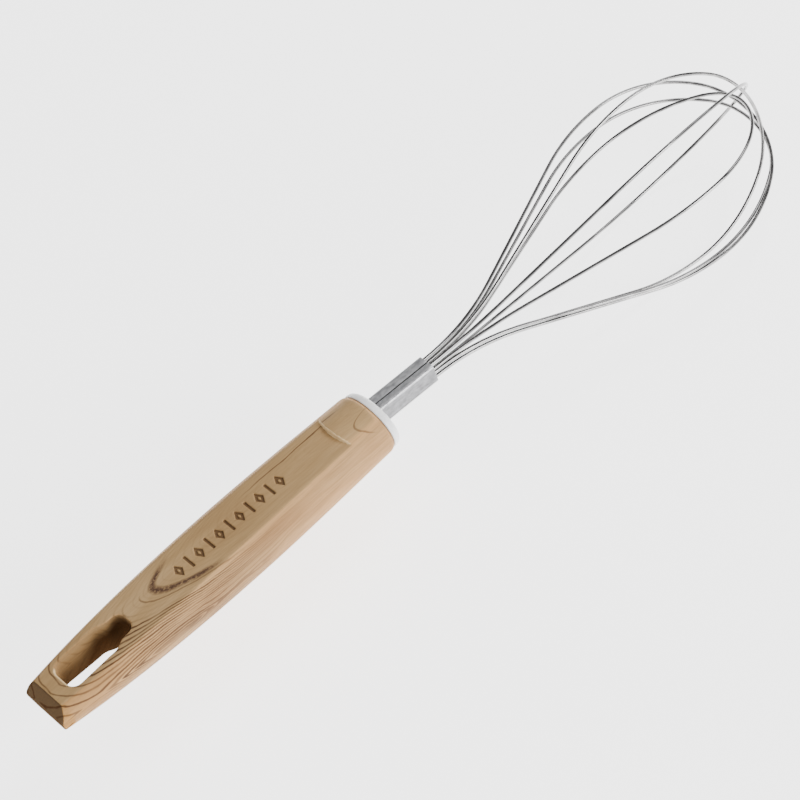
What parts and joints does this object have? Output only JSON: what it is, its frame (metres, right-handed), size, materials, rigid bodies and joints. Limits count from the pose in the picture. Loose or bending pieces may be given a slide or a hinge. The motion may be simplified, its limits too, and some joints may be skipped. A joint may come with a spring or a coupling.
{
  "type": "balloon whisk",
  "caption": "Hand balloon whisk: crossed steel wire loops held in a square ferrule, with a flattened barrel handle in a wood-grain finish and a long hanging slot.",
  "frame": {"origin": "middle of the hanging slot, on the handle's own long axis", "axes": "+X from the butt along the handle towards the wire head; +Z out of the handle's upper flat, the one with the grip mark; +Y to the left of the handle"},
  "size_m": [0.2991, 0.0599, 0.0565],
  "materials": {
    "wood_print": "satin moulded plastic printed with wood grain",
    "white_plastic": "moulded",
    "ferrule_steel": "rolled sheet, satin",
    "inner_steel": "plain",
    "polished_wire": "drawn and polished"
  },
  "bodies": {
    "root": {"handle": "wood_print", "core_collar": "white_plastic", "ferrule": "ferrule_steel", "leg_wedge": "inner_steel", "cross_pin": "inner_steel", "wire_loop_1": "polished_wire", "wire_loop_2": "polished_wire", "wire_loop_3": "polished_wire", "wire_loop_4": "polished_wire", "wire_loop_5": "polished_wire"}
  },
  "joints": []
}
